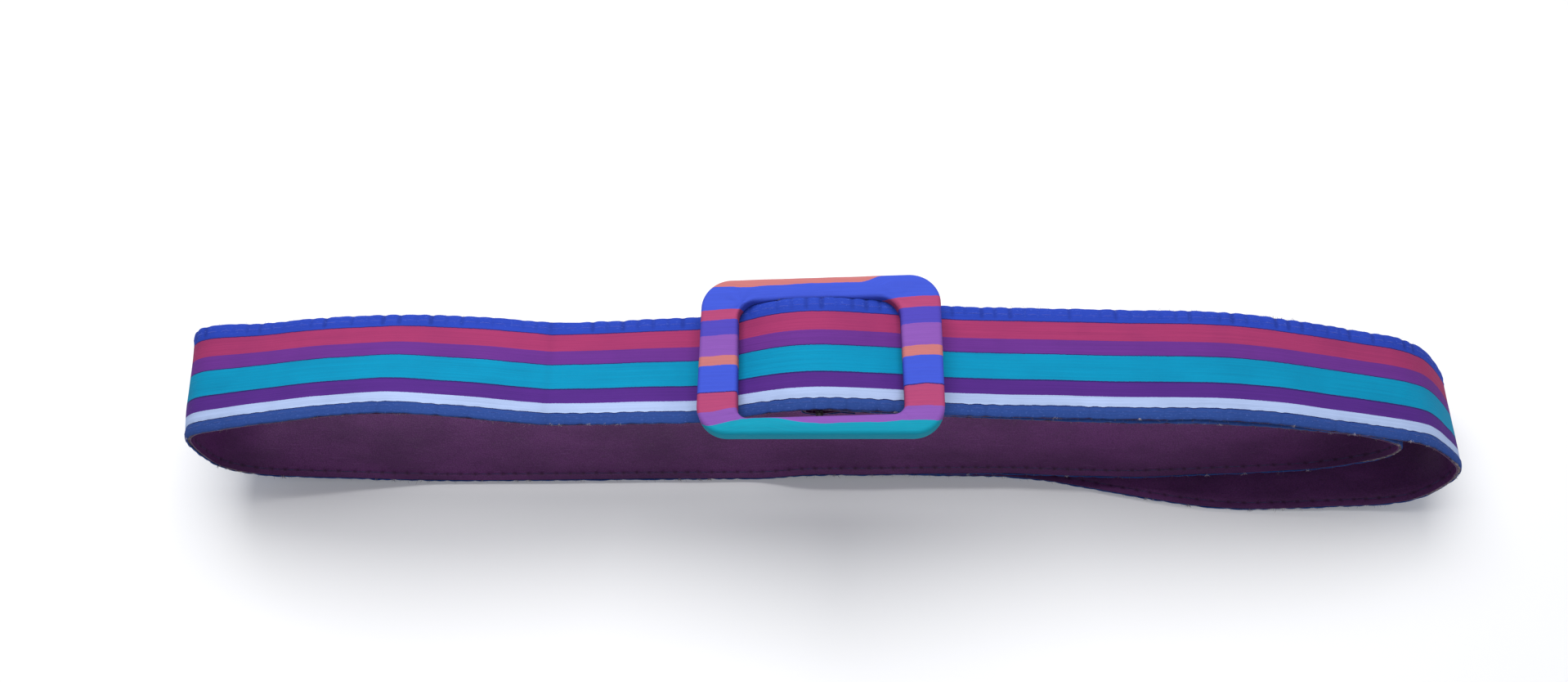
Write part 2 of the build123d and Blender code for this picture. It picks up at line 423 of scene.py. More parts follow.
def edge_shift(length, side):
    """How far the cut edge is drawn in, in mm towards the strap's middle."""
    draw_in = 0.22 * pucker(length, side, 1.1) * pull(length, side)
    return draw_in + 0.12 * waves(length, 0 * length, 9, 33 + side)


def lining_height(length, across):
    """Inner surface of the lining."""
    height = -HALF_THICKNESS + 0.05 * waves(length, across, 18, 41)
    for side in (1, -1):
        inset = HALF_WIDTH - side * across
        dimple = pucker(length, side, 0.6) * np.exp(-((inset - STITCH_INSET) / 0.7) ** 2)
        height = height + DIMPLE_DEPTH * dimple
        height = height + SEAM_LINE_DEPTH * np.exp(-((inset - STITCH_INSET) / 0.5) ** 2)
    return height


BEND_SPREAD = 41            # samples that a bend's mark spreads over
BEND_LEAST = 0.030          # turn per millimetre at which the layers start to part
BEND_RANGE = 0.020
EDGE_COLUMNS = [0.0, 0.12, 0.35, 0.7, 1.1, 1.6, 2.1, 2.5, 2.9, 3.4, 4.0, 4.7, 5.5, 6.5]
MIDDLE_COLUMNS = 18


def dense_columns():
    """Positions across the strap, close together at its edges."""
    side = HALF_WIDTH - np.array(EDGE_COLUMNS)
    middle = np.linspace(side[-1], -side[-1], MIDDLE_COLUMNS + 2)[1:-1]
    return np.concatenate([side, middle, -side[::-1]])


def slab(name, first, last, upper, lower, inset, upper_columns, lower_columns):
    """A closed layer of the strap between two height functions. inset draws its long edges in."""
    inside = (strap.length > first) & (strap.length < last)
    length = np.concatenate([[first], strap.length[inside], [last]])
    across = np.concatenate([upper_columns, lower_columns[::-1]])
    is_upper = np.arange(len(across)) < len(upper_columns)
    grid_length, grid_across = np.meshgrid(length, across, indexing="ij")
    height = np.where(is_upper, upper(grid_length, grid_across), lower(grid_length, grid_across))
    near_edge = 1 - ease((HALF_WIDTH - np.abs(grid_across)) / 3.0)
    far_in = inset(grid_length, 1) * (grid_across > 0)
    near_in = inset(grid_length, -1) * (grid_across < 0)
    drawn = grid_across - near_edge * (far_in - near_in)
    points = strap.place(grid_length, drawn, height)
    attributes = {
        "along": grid_length.ravel(),
        "across": (HALF_WIDTH - grid_across - scallop(grid_length, grid_across)).ravel(),
        # crease marks where painted shade falls: the puckers and the cross crease on the cloth, the
        # needle holes on the lining.
        "crease": np.where(
            is_upper,
            crease_amount(grid_length, grid_across) + 0.45 * cross_crease(grid_length),
            needle_mark(grid_length, grid_across),
        ).ravel(),
    }
    return new_object(name, points.reshape(-1, 3), capped_faces(*grid_length.shape), attributes)


def constant_height(value):
    """A height function that is the same everywhere."""
    return lambda length, across: value + 0 * length


def face_underside(length, across):
    """Back of the cloth, which is pressed down over the stiffener's edge."""
    inset = HALF_WIDTH - np.abs(across)
    pressed = 0.45 * np.exp(-((inset / EDGE_TURN_WIDTH) ** 2))
    return CORE_OUTER - pressed * (1 - 0.8 * bend_at(length))


def face_slab(name, first, last):
    """The striped cloth."""
    half = [HALF_WIDTH, HALF_WIDTH - 0.3, HALF_WIDTH - 0.8, 9.0]
    under = np.array(half + [0.0] + [-place for place in half[::-1]])
    return slab(
        name, first, last,
        face_height, face_underside,
        edge_shift, dense_columns(), under,
    )


def bend_at(length):
    """0 on straight runs and 1 where the loop turns sharply, where the layers part and the core shows."""
    turn = np.linalg.norm(np.gradient(strap.travel, axis=0), axis=1) / STEP
    turn = np.convolve(turn, np.ones(BEND_SPREAD) / BEND_SPREAD, mode="same")
    return ease((np.interp(length, strap.length, turn) - BEND_LEAST) / BEND_RANGE)


def core_inset(length, side):
    """The stiffener's cut edge, a little ragged."""
    ragged = waves(length, 0 * length, 3.0, 51 + side)
    ragged = ragged + 0.7 * waves(length, 0 * length, 1.6, 53 + side)
    bend = bend_at(length) * ease((length - FOLD_LENGTH) / 20)
    straight_inset = 0.75 if side > 0 else 0.55
    return straight_inset - 0.50 * bend + 0.12 * ragged


def core_slab(name, first, last):
    """The fibre stiffener, whose edge shows between the cloth and the lining."""
    columns = np.concatenate([
        HALF_WIDTH - np.array([0.0, 0.4, 1.2, 3.0]),
        [0.0],
        np.array([3.0, 1.2, 0.4, 0.0]) - HALF_WIDTH,
    ])
    return slab(
        name, first, last,
        constant_height(CORE_OUTER), constant_height(CORE_INNER),
        core_inset, columns, columns,
    )


def lining_inset(length, side):
    """The lining's clean cut edge."""
    return 0.20 + 0.10 * waves(length, 0 * length, 22, 61 + side)


def lining_slab(name, first, last):
    """The vinyl lining."""
    upper = np.linspace(HALF_WIDTH, -HALF_WIDTH, 7)
    return slab(
        name, first, last,
        constant_height(CORE_INNER), lining_height,
        lining_inset, upper, dense_columns(),
    )


# ---- thread ----
THREAD_SIDES = 6
THREAD_STEPS = 7
THREAD_SHARE = np.linspace(0, 1, THREAD_STEPS)
THREAD_BULGE = np.sin(math.pi * THREAD_SHARE) ** 0.6      # each bead is thickest halfway
THREAD_RADII = THREAD_RADIUS * (0.55 + 0.45 * THREAD_BULGE)[:, None]
THREAD_RISE = 0.16
FACE_THREAD_SINK = 0.24
LINING_THREAD_SINK = 0.20
HOLE_GAP = 0.2              # between a needle hole and the bead's end
CROSS_PITCH = 3.2
CROSS_RISE = 0.22


def tube_points(path, up, radius):
    """Rings round a path, for a tube whose ends taper."""
    path = np.asarray(path)
    travel = unit(np.gradient(path, axis=0))
    side = unit(np.cross(travel, up))
    top = np.cross(side, travel)
    rings = []
    for step in range(THREAD_SIDES):
        angle = math.tau * step / THREAD_SIDES
        rings.append(path + radius * (side * math.cos(angle) + top * math.sin(angle)))
    return np.stack(rings, axis=1)


def joined_tubes(name, tubes):
    """One object of many separate closed tubes."""
    vertices = []
    faces = []
    for rings in tubes:
        faces += capped_faces(*rings.shape[:2], start=sum(len(part) for part in vertices))
        vertices.append(rings.reshape(-1, 3))
    vertices = np.concatenate(vertices)
    vertices[:, 2] = np.maximum(vertices[:, 2], FLOOR_GAP)
    return new_object(name, vertices, faces)


def edge_stitches(side, first, last, on_lining):
    """Thread along one edge: a bead between each two holes, on the cloth or on the lining."""
    tubes = []
    across = side * (HALF_WIDTH - STITCH_INSET)
    holes = HOLES[side]
    for start, end in zip(holes, holes[1:]):
        if start < first + 0.5 or end > last - 0.5:
            continue
        length = start + HOLE_GAP + (end - start - 2 * HOLE_GAP) * THREAD_SHARE
        if on_lining:
            height = lining_height(length, across) + LINING_THREAD_SINK - THREAD_RISE * THREAD_BULGE
        else:
            height = face_height(length, across) - FACE_THREAD_SINK + THREAD_RISE * THREAD_BULGE
        path = strap.place(length, across, height)
        tubes.append(tube_points(path, strap.up(length, across), THREAD_RADII))
    return tubes


def cross_stitches(length, surface):
    """Thread across the strap, on the surface that a height function gives."""
    tubes = []
    count = int((STRAP_WIDTH - 2 * STITCH_INSET - 1) / CROSS_PITCH)
    distance = np.full(THREAD_STEPS, length)
    for index in range(count):
        across = -count * CROSS_PITCH / 2 + CROSS_PITCH * (index + 0.06 + 0.88 * THREAD_SHARE)
        height = surface(distance, across)
        outwards = np.where(height > 0, 1, -1)
        height = height + outwards * (CROSS_RISE * THREAD_BULGE - THREAD_RISE)
        path = strap.place(distance, across, height)
        tubes.append(tube_points(path, strap.up(distance, across), THREAD_RADII))
    return tubes


# ---- loose fibres on the cut edges ----
FIBRE_STEPS = np.linspace(0, 1, 4)
FIBRE_RADIUS = 0.055
LINT_RADIUS = 0.07
FIBRES_PER_MM = 1.6
LINT_SPACING = 26.0
LINT_FIBRES = 16            # in one tuft


def fibre_tube(place, path, thickness):
    """One thin fibre along a path, tapering to its tip. place is where along the strap it stands."""
    up = strap.up(np.full(len(FIBRE_STEPS), place), 0.0)
    radius = (thickness * (1 - 0.6 * FIBRE_STEPS))[:, None]
    return tube_points(path, up, radius)[:, ::2]


def edge_fibres(name, first, last, count, seed):
    """Short curled fibres that stand out of the stiffener's cut edges, in tufts."""
    draw = np.random.default_rng(seed)
    tubes = []
    for _ in range(count):
        side = draw.choice([1, -1])
        length = draw.uniform(max(first, FOLD_LENGTH) + 1, last - 1)
        tuft = 0.5 + 0.5 * waves(length, 0.0, 30, 71 + side)
        reach = (0.25 + 0.9 * draw.random() ** 2) * (0.4 + tuft)
        height = draw.uniform(CORE_INNER, CORE_OUTER)
        bend = draw.uniform(-0.9, 0.9, 2) * reach
        path = strap.place(
            length + bend[0] * FIBRE_STEPS ** 2,
            side * (HALF_WIDTH - 0.4 + (reach + 0.3) * FIBRE_STEPS),
            height + bend[1] * FIBRE_STEPS ** 2 * 0.6,
        )
        tubes.append(fibre_tube(length, path, FIBRE_RADIUS))
    return joined_tubes(name, tubes)


def lint_tufts(name, first, last, spacing, seed):
    """Small pale tufts of fluff that are caught on the near edge, at random places."""
    draw = np.random.default_rng(seed)
    tubes = []
    for _ in range(int((last - first) / spacing)):
        middle = draw.uniform(first + 3, last - 3)
        size = 0.5 + 0.6 * draw.random()
        for _ in range(LINT_FIBRES):
            lean = draw.uniform(-1, 1, 2) * size
            path = strap.place(
                middle + draw.uniform(-0.5, 0.5) + lean[0] * FIBRE_STEPS ** 2,
                0.3 - HALF_WIDTH - size * draw.uniform(0.3, 1.0) * FIBRE_STEPS,
                draw.uniform(CORE_INNER, HALF_THICKNESS) + 0.5 * lean[1] * FIBRE_STEPS ** 2,
            )
            tubes.append(fibre_tube(middle, path, LINT_RADIUS))
    return joined_tubes(name, tubes)


# ---- nodes ----
class Nodes:
    """Makes and links shader nodes in one material."""

    def __init__(self, name):
        self.material = bpy.data.materials.new(name)
        self.material.use_nodes = True
        self.tree = self.material.node_tree
        self.shader = self.tree.nodes["Principled BSDF"]

    def add(self, kind, settings=None, **inputs):
        """A node with settings on itself, and values or links on its sockets."""
        node = self.tree.nodes.new(kind)
        for key, value in (settings or {}).items():
            setattr(node, key, value)
        for key, value in inputs.items():
            numbered = key[0] == "i" and key[1:].isdigit()      # i0, i1 and so on are socket numbers
            self.put(node.inputs[int(key[1:]) if numbered else key], value)
        return node

    def put(self, socket, value):
        """Links a socket, or sets its value."""
        if isinstance(value, bpy.types.NodeSocket):
            self.tree.links.new(value, socket)
        else:
            socket.default_value = value

    def attribute(self, name):
        """A mesh attribute's number."""
        return self.add("ShaderNodeAttribute", {"attribute_name": name}).outputs["Fac"]

    def math(self, operation, first, second=0.0, third=0.0):
        """One math operation."""
        node = self.add("ShaderNodeMath", {"operation": operation}, i0=first, i1=second, i2=third)
        return node.outputs[0]

    def times(self, first, second):
        """The product of two numbers."""
        return self.math("MULTIPLY", first, second)

    def vector(self, x, y, z=0.0):
        """A vector from three numbers."""
        return self.add("ShaderNodeCombineXYZ", i0=x, i1=y, i2=z).outputs[0]

    def scaled(self, along, across, along_scale, across_scale):
        """A place on the cloth, scaled along the strap and across it."""
        return self.vector(
            self.times(along, along_scale),
            self.times(across, across_scale),
        )

    def noise(self, vector, scale, detail=3.0, roughness=0.5):
        """Noise from 0 to 1."""
        node = self.add(
            "ShaderNodeTexNoise", Vector=vector, Scale=scale, Detail=detail, Roughness=roughness,
        )
        return node.outputs["Fac"]

    def mix(self, amount, first, second, blend="MIX"):
        """Mixes two colours."""
        node = self.add("ShaderNodeMix", {"data_type": "RGBA", "blend_type": blend})
        self.put(node.inputs[0], amount)
        self.put(node.inputs[6], first)
        self.put(node.inputs[7], second)
        return node.outputs[2]

    def ranged(self, value, low, high, new_low=0.0, new_high=1.0):
        """Maps a number from one range to another, smoothly, and keeps it there."""
        node = self.add("ShaderNodeMapRange", {"interpolation_type": "SMOOTHSTEP"})
        for index, number in enumerate((value, low, high, new_low, new_high)):
            self.put(node.inputs[index], number)
        return node.outputs[0]

    def ramp(self, value, stops):
        """A colour ramp with hard steps. stops are (start, colour)."""
        node = self.add("ShaderNodeValToRGB", Fac=value)
        ramp = node.color_ramp
        ramp.interpolation = "CONSTANT"
        ramp.elements[0].position, ramp.elements[0].color = stops[0]
        while len(ramp.elements) > 1:
            ramp.elements.remove(ramp.elements[-1])
        for start, colour in stops[1:]:
            ramp.elements.new(start).color = colour
        return node.outputs["Color"]

    def bump(self, height, strength, distance, normal=None):
        """A bump normal."""
        node = self.add("ShaderNodeBump", Height=height, Strength=strength, Distance=distance)
        if normal is not None:
            self.put(node.inputs["Normal"], normal)
        return node.outputs["Normal"]

    def finish(self, **sockets):
        """Sets the shader's sockets, given with underscores for spaces, and returns the material."""
        for key, value in sockets.items():
            self.put(self.shader.inputs[key.replace("_", " ")], value)
        return self.material


# ---- cloth colours, from the strap's far edge to its near one, as (start across the strap, colour) ----
BLUE = srgb(40, 66, 170)
CRIMSON = srgb(155, 52, 97)
VIOLET = srgb(100, 47, 131)
TEAL = srgb(4, 136, 174)
DARK_PURPLE = srgb(80, 40, 124)
PALE = srgb(166, 184, 220)
NAVY = srgb(42, 70, 134)
# Painted shade: a thin dark line along the step where two stripes meet, on the strap and on the buckle's
# cover.
STRIPE_EDGE_SHADE = srgb(46, 32, 96)
# Painted shade: the dark line in the groove beside the pale stripe.
CREVICE_SHADE = srgb(24, 26, 74)

STRAP_STRIPES = [
    (0.0, BLUE),
    (0.122, STRIPE_EDGE_SHADE),
    (0.131, CRIMSON),
    (0.294, VIOLET),
    (0.422, STRIPE_EDGE_SHADE),
    (0.430, TEAL),
    (0.664, STRIPE_EDGE_SHADE),
    (0.672, DARK_PURPLE),
    (0.801, PALE),
    (0.893, CREVICE_SHADE),
    (0.902, NAVY),
]


WEAVE_PITCH = 0.42


def weave_height(nodes, along, across):
    """Crossing threads of a plain weave, from 0 to 1."""
    warp = nodes.math("SINE", nodes.times(across, math.tau / WEAVE_PITCH))
    weft = nodes.math("SINE", nodes.times(along, math.tau / (WEAVE_PITCH * 1.15)))
    return nodes.math("MULTIPLY_ADD", nodes.times(warp, weft), 0.5, 0.5)


def striped_cloth():
    """The strap's striped woven cloth."""
    nodes = Nodes("striped_cloth")
    along = nodes.attribute("along")
    across = nodes.attribute("across")
    crease = nodes.attribute("crease")
    drift = nodes.noise(nodes.scaled(along, across, 0.03, 0.0), 1.0, 2.0)
    ragged = nodes.noise(nodes.scaled(along, across, 1.0, 0.4), 2.2, 3.0)
    wander = nodes.math("MULTIPLY_ADD", drift, 0.5, -0.25)
    fray = nodes.math("MULTIPLY_ADD", ragged, 0.34, -0.17)
    position = nodes.math("ADD", across, nodes.math("ADD", wander, fray))
    colour = nodes.ramp(nodes.math("DIVIDE", position, STRAP_WIDTH), STRAP_STRIPES)
    streak = nodes.noise(nodes.scaled(along, across, 0.02, 3.0), 1.0, 4.0, 0.6)
    colour = nodes.mix(nodes.ranged(streak, 0.3, 0.7, 0.0, 0.16), colour, srgb(6, 14, 52))
    cloud = nodes.noise(nodes.scaled(along, across, 0.05, 0.08), 1.0)
    colour = nodes.mix(nodes.ranged(cloud, 0.35, 0.75, 0.0, 0.10), colour, srgb(8, 20, 70))
    # Painted shade: the colour darkens where the thread's puckers and the cross crease draw the cloth
    # down.
    crease_shade = nodes.times(nodes.ranged(crease, 0.15, 1.1), 0.30)
    colour = nodes.mix(crease_shade, colour, srgb(16, 14, 52))
    # Pale specks on the blue and navy edge bands: partly wear, partly painted sheen on the puckered
    # bands.
    band = nodes.math("ABSOLUTE", nodes.math("SUBTRACT", across, HALF_WIDTH))
    on_edge = nodes.ranged(band, HALF_WIDTH - 4.2, HALF_WIDTH - 2.6)
    specks = nodes.noise(nodes.scaled(along, across, 1.0, 2.2), 0.9, 4.0, 0.65)
    wear_and_sheen = nodes.times(nodes.ranged(specks, 0.55, 0.75, 0.0, 0.30), on_edge)
    colour = nodes.mix(wear_and_sheen, colour, srgb(120, 145, 225))
    weave = weave_height(nodes, along, across)
    colour = nodes.mix(nodes.times(weave, 0.10), colour, srgb(20, 14, 44))
    fine = nodes.bump(weave, 0.25, 0.00012)
    slub = nodes.noise(nodes.scaled(along, across, 0.25, 2.0), 1.0)
    normal = nodes.bump(slub, 0.25, 0.0004, fine)
    roughness = nodes.ranged(specks, 0.2, 0.8, 0.72, 0.88)
    return nodes.finish(Base_Color=colour, Roughness=roughness, Normal=normal, Specular_IOR_Level=0.08)


def fibre_board():
    """The stiffener: a pale tan and grey fibre felt."""
    nodes = Nodes("fibre_board")
    at = nodes.add("ShaderNodeTexCoord").outputs["Object"]
    coarse = nodes.noise(at, 900.0, 4.0, 0.6)
    fine = nodes.noise(at, 4500.0, 3.0, 0.6)
    colour = nodes.mix(nodes.ranged(coarse, 0.35, 0.7), srgb(74, 62, 76), srgb(142, 130, 132))
    colour = nodes.mix(nodes.ranged(fine, 0.55, 0.75, 0.0, 0.5), colour, srgb(48, 38, 54))
    normal = nodes.bump(fine, 0.6, 0.0003)
    return nodes.finish(Base_Color=colour, Roughness=0.95, Normal=normal, Specular_IOR_Level=0.15)


def vinyl_lining():
    """The plum vinyl lining: a soft shine over a fine grain."""
    nodes = Nodes("plum_vinyl")
    along = nodes.attribute("along")
    across = nodes.attribute("across")
    cloud = nodes.noise(nodes.scaled(along, across, 0.03, 0.07), 1.0)
    colour = nodes.mix(nodes.ranged(cloud, 0.3, 0.7), srgb(68, 32, 74), srgb(84, 41, 90))
    grain = nodes.add(
        "ShaderNodeTexVoronoi", {"feature": "DISTANCE_TO_EDGE"},
        Vector=nodes.vector(along, across), Scale=1.4,
    )
    cells = nodes.ranged(grain.outputs["Distance"], 0.0, 0.16)
    # Painted shade in the grooves between the grain's cells.
    grain_groove_shade = nodes.times(nodes.math("SUBTRACT", 1.0, cells), 0.35)
    colour = nodes.mix(grain_groove_shade, colour, srgb(34, 14, 38))
    rubs = nodes.noise(nodes.scaled(along, across, 0.12, 1.4), 1.0, 5.0, 0.6)
    colour = nodes.mix(nodes.ranged(rubs, 0.56, 0.78, 0.0, 0.14), colour, srgb(140, 104, 150))
    # Painted shade: the lining darkens in the dimples at the needle holes.
    needle_hole_shade = nodes.times(nodes.attribute("crease"), 0.75)
    colour = nodes.mix(needle_hole_shade, colour, srgb(18, 8, 22))
    roughness = nodes.ranged(rubs, 0.3, 0.75, 0.38, 0.56)
    normal = nodes.bump(cells, 0.35, 0.00015)
    wave = nodes.noise(nodes.scaled(along, across, 0.15, 0.2), 1.0)
    normal = nodes.bump(wave, 0.3, 0.0008, normal)
    return nodes.finish(Base_Color=colour, Roughness=roughness, Normal=normal, Specular_IOR_Level=0.12)


def thread_material(name, colour):
    """Twisted sewing thread."""
    nodes = Nodes(name)
    at = nodes.add("ShaderNodeTexCoord").outputs["Object"]
    wave = nodes.add(
        "ShaderNodeTexWave", {"bands_direction": "DIAGONAL"},
        Vector=at, Scale=1400.0, Distortion=1.0,
    )
    ply = wave.outputs["Fac"]
    tint = nodes.noise(at, 600.0)
    base = nodes.mix(nodes.ranged(tint, 0.35, 0.7, 0.0, 0.12), colour, srgb(120, 136, 215))
    # Painted shade in the grooves between the thread's plies.
    ply_groove_shade = nodes.times(nodes.math("SUBTRACT", 1.0, ply), 0.45)
    base = nodes.mix(ply_groove_shade, base, srgb(20, 16, 50))
    return nodes.finish(
        Base_Color=base, Roughness=0.6, Normal=nodes.bump(ply, 0.5, 0.0002),
        Sheen_Weight=0.05, Specular_IOR_Level=0.2,
    )


# ---- buckle ----
BAR = ((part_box("centre_bar")[0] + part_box("centre_bar")[1]) / 2) / MM
TILT = math.radians(4.5)
FRAME_CENTRE = 0.5
FRAME_CORNERS = [(40.3, 26.3), (-38.2, 26.5), (-39.0, -27.7), (39.5, -29.2)]
FRAME_RADII = (10.0, 10.0, 10.0, 10.0)
WINDOW_HALF_WIDTH = 26.5
WINDOW_FAR = 18.3
WINDOW_NEAR = 22.2
WINDOW_RIGHT = FRAME_CENTRE + WINDOW_HALF_WIDTH
WINDOW_LEFT = FRAME_CENTRE - WINDOW_HALF_WIDTH
WINDOW_CORNERS = [
    (WINDOW_RIGHT, WINDOW_FAR),
    (WINDOW_LEFT, WINDOW_FAR),
    (WINDOW_LEFT, -WINDOW_NEAR),
    (WINDOW_RIGHT, -WINDOW_NEAR),
]
WINDOW_RADII = (7.0, 5.5, 3.5, 3.5)
FRAME_BACK = -0.2
FRAME_FRONT = 5.0
OUTER_EDGE = 1.6
INNER_EDGE = 1.5
COVER_THICKNESS = 0.45
COVER_CROWN = 0.22          # how much the cloth rises over the middle of a bar
FAR_WALL_TURN = 0.30        # the cloth hardly moves across its stripes where it turns into the far wall
SIDE_STEPS = (60, 34, 60, 34)
CORNER_STEPS = 16


def buckle_place(x, y, height):
    """A point from the buckle's own axes, with the bar's centre as origin."""
    return np.stack([
        BAR[0] + x * math.cos(TILT) - height * math.sin(TILT),
        y,
        BAR[2] + x * math.sin(TILT) + height * math.cos(TILT),
    ], axis=-1)


def frame_outline(corners, radii):
    """A rounded four-sided outline and its outward directions, anticlockwise from far right."""
    points = []
    normals = []
    centres = [
        np.array([x - math.copysign(radius, x - FRAME_CENTRE), y - math.copysign(radius, y)])
        for (x, y), radius in zip(corners, radii)
    ]
    for index, (centre, radius) in enumerate(zip(centres, radii)):
        for step in range(CORNER_STEPS):
            angle = math.radians(90 * index + 90 * (step + 0.5) / CORNER_STEPS)
            normals.append(np.array([math.cos(angle), math.sin(angle)]))
            points.append(centre + radius * normals[-1])
        angle = math.radians(90 * index + 90)
        normal = np.array([math.cos(angle), math.sin(angle)])
        following = (index + 1) % 4
        here = centre + radius * normal
        there = centres[following] + radii[following] * normal
        for step in range(SIDE_STEPS[index]):
            share = (step + 0.5) / SIDE_STEPS[index]
            normals.append(normal)
            points.append(here + (there - here) * share)
    return np.array(points), np.array(normals)


def cover_profile():
    """Across one bar of the frame: share of the way in from the outer wall to the window's, distance in
    from that wall (None on the front between the two rounded edges), and height."""
    rows = []
    front = FRAME_FRONT
    for height in np.linspace(FRAME_BACK, front - OUTER_EDGE, 6):
        rows.append((0, 0.0, height))
    for angle in np.radians(np.linspace(10, 90, 9)):
        inset = OUTER_EDGE * (1 - math.cos(angle))
        rows.append((0, inset, front - OUTER_EDGE * (1 - math.sin(angle))))
    for share in np.linspace(0, 1, 15)[1:-1]:
        rows.append((share, None, front + COVER_CROWN * (1 - (2 * share - 1) ** 2)))
    for angle in np.radians(np.linspace(90, 10, 8)):
        inset = INNER_EDGE * (1 - math.cos(angle))
        rows.append((1, inset, front - INNER_EDGE * (1 - math.sin(angle))))
    for height in np.linspace(front - INNER_EDGE, FRAME_BACK, 6):
        rows.append((1, 0.0, height))
    return rows


def cover_skin(depth):
    """Points of the cover's skin, moved inwards by depth, and the cloth's place across its stripes."""
    outer, outer_normal = frame_outline(FRAME_CORNERS, FRAME_RADII)
    inner, inner_normal = frame_outline(WINDOW_CORNERS, WINDOW_RADII)
    outer = outer - outer_normal * depth
    inner = inner + inner_normal * depth
    edge_out = outer - outer_normal * OUTER_EDGE
    edge_in = inner + inner_normal * INNER_EDGE
    columns = []
    for wall, inset, height in cover_profile():
        if inset is None:
            flat = edge_out + (edge_in - edge_out) * wall
            drop = np.zeros(len(flat))
        elif wall == 0:
            flat = outer - outer_normal * inset
            drop = outer_normal[:, 1] * max(0.0, FRAME_FRONT - height - inset * 0.4)
        else:
            flat = inner + inner_normal * inset
            fall = np.where(inner_normal[:, 1] > 0, FAR_WALL_TURN, 1.0)
            drop = -inner_normal[:, 1] * fall * max(0.0, FRAME_FRONT - height - inset * 0.4)
        lowered = np.full(len(flat), height - (depth if height > FRAME_FRONT - OUTER_EDGE else 0.0))
        x, y = flat.T
        columns.append((x, y, lowered, y + drop - cloth_drag(x, y)))
    return [np.stack(values, axis=1) for values in zip(*columns)]


def cloth_drag(x, y):
    """How far the cover's stripes were dragged towards the far edge when it was stretched."""
    near_bump = 2.8 * np.exp(-((x + 19) / 11) ** 2) * ease((-15 - y) / 5)
    far_line = 3.8 * ease((x - 14) / 12) - 0.045 * (x + 22) - 0.6 * np.exp(-((x + 22) / 5) ** 2)
    return near_bump + far_line * ease((y - 21.5) / 2)


def corner_folds(x, y):
    """Small folds that fan out of the window's corners, where the cloth is drawn round them."""
    total = 0
    for index, (sign_x, sign_y) in enumerate([(-1, 1), (1, 1), (-1, -1), (1, -1)]):
        dx = x - (FRAME_CENTRE + sign_x * (WINDOW_HALF_WIDTH - 1))
        dy = y - (WINDOW_FAR - 1 if sign_y > 0 else 1 - WINDOW_NEAR)
        reach = np.hypot(dx, dy)
        angle = np.arctan2(dy, dx)
        fade = np.exp(-((reach - 2.5) / 4.0) ** 2)
        total = total + fade * np.sin(angle * 6 + index * 1.7) * (0.12 if index else 0.20)
    return total


def cover_object():
    """The striped cloth that wraps the buckle's shell, as one closed skin."""
    x, y, height, stripe = cover_skin(0.0)
    top = ease((height - FRAME_FRONT + 2.5) / 2.0)
    height = height + top * (0.10 * waves(x, y, 14, 81) + corner_folds(x, y))
    x, y, height, stripe = (
        np.concatenate([outside, inside[:, ::-1]], axis=1)
        for outside, inside in zip((x, y, height, stripe), cover_skin(COVER_THICKNESS))
    )
    rows, columns = x.shape
    points = buckle_place(x, y, height).reshape(-1, 3)
    faces = grid_faces(rows, columns, close_rows=True, close_columns=True)
    attributes = {"along": x.ravel(), "across": stripe.ravel()}
    return new_object("buckle_cloth_cover", points, faces, attributes)


COVER_BLUE = srgb(58, 80, 190)
COVER_PINK = srgb(162, 64, 104)
COVER_VIOLET = srgb(72, 64, 166)
COVER_ORCHID = srgb(126, 78, 160)
COVER_PEACH = srgb(182, 108, 106)
COVER_TEAL = srgb(10, 140, 164)

# Distances from the bar's line towards the far edge, from the near edge up.
COVER_REACH = 40.0
COVER_STRIPES = [
    (-COVER_REACH, COVER_TEAL),
    (-25.3, COVER_ORCHID),
    (-20.6, COVER_PINK),
    # painted shade line where the pink stripe meets the blue one
    (-13.7, STRIPE_EDGE_SHADE),
    (-13.4, COVER_BLUE),
    (-3.9, COVER_PEACH),
    (-0.5, COVER_ORCHID),
    (6.9, COVER_VIOLET),
    (12.6, COVER_PINK),
    (16.4, COVER_BLUE),
    (24.5, COVER_PEACH),
    (30.6, COVER_TEAL),
]


def cover_cloth():
    """The buckle's striped cloth."""
    nodes = Nodes("buckle_cloth")
    along = nodes.attribute("along")
    across = nodes.attribute("across")
    slope = nodes.math("MULTIPLY_ADD", across, 0.00075, 0.0215)     # the stripes fan out a little
    slanted = nodes.math("SUBTRACT", across, nodes.times(along, slope))
    drift = nodes.noise(nodes.scaled(along, across, 0.07, 0.02), 1.0, 2.0)
    fray = nodes.noise(nodes.vector(along, across), 2.4, 3.0)
    position = nodes.math("ADD", slanted, nodes.math("MULTIPLY_ADD", drift, 1.6, -0.8))
    position = nodes.math("ADD", position, nodes.math("MULTIPLY_ADD", fray, 0.3, -0.15))
    whole = 2 * COVER_REACH
    stops = [((start + COVER_REACH) / whole, colour) for start, colour in COVER_STRIPES]
    share = nodes.math("DIVIDE", nodes.math("ADD", position, COVER_REACH), whole)
    colour = nodes.ramp(share, stops)
    streak = nodes.noise(nodes.scaled(along, across, 0.05, 3.0), 1.0, 4.0)
    colour = nodes.mix(nodes.ranged(streak, 0.3, 0.7, 0.0, 0.12), colour, srgb(40, 30, 80))
    weave = weave_height(nodes, along, across)
    colour = nodes.mix(nodes.times(weave, 0.08), colour, srgb(20, 14, 44))
    slub = nodes.noise(nodes.scaled(along, across, 0.3, 2.0), 1.0)
    normal = nodes.bump(slub, 0.25, 0.0003, nodes.bump(weave, 0.25, 0.00012))
    return nodes.finish(
        Base_Color=colour, Roughness=nodes.ranged(slub, 0.2, 0.8, 0.7, 0.85), Normal=normal,
        Specular_IOR_Level=0.10,
    )


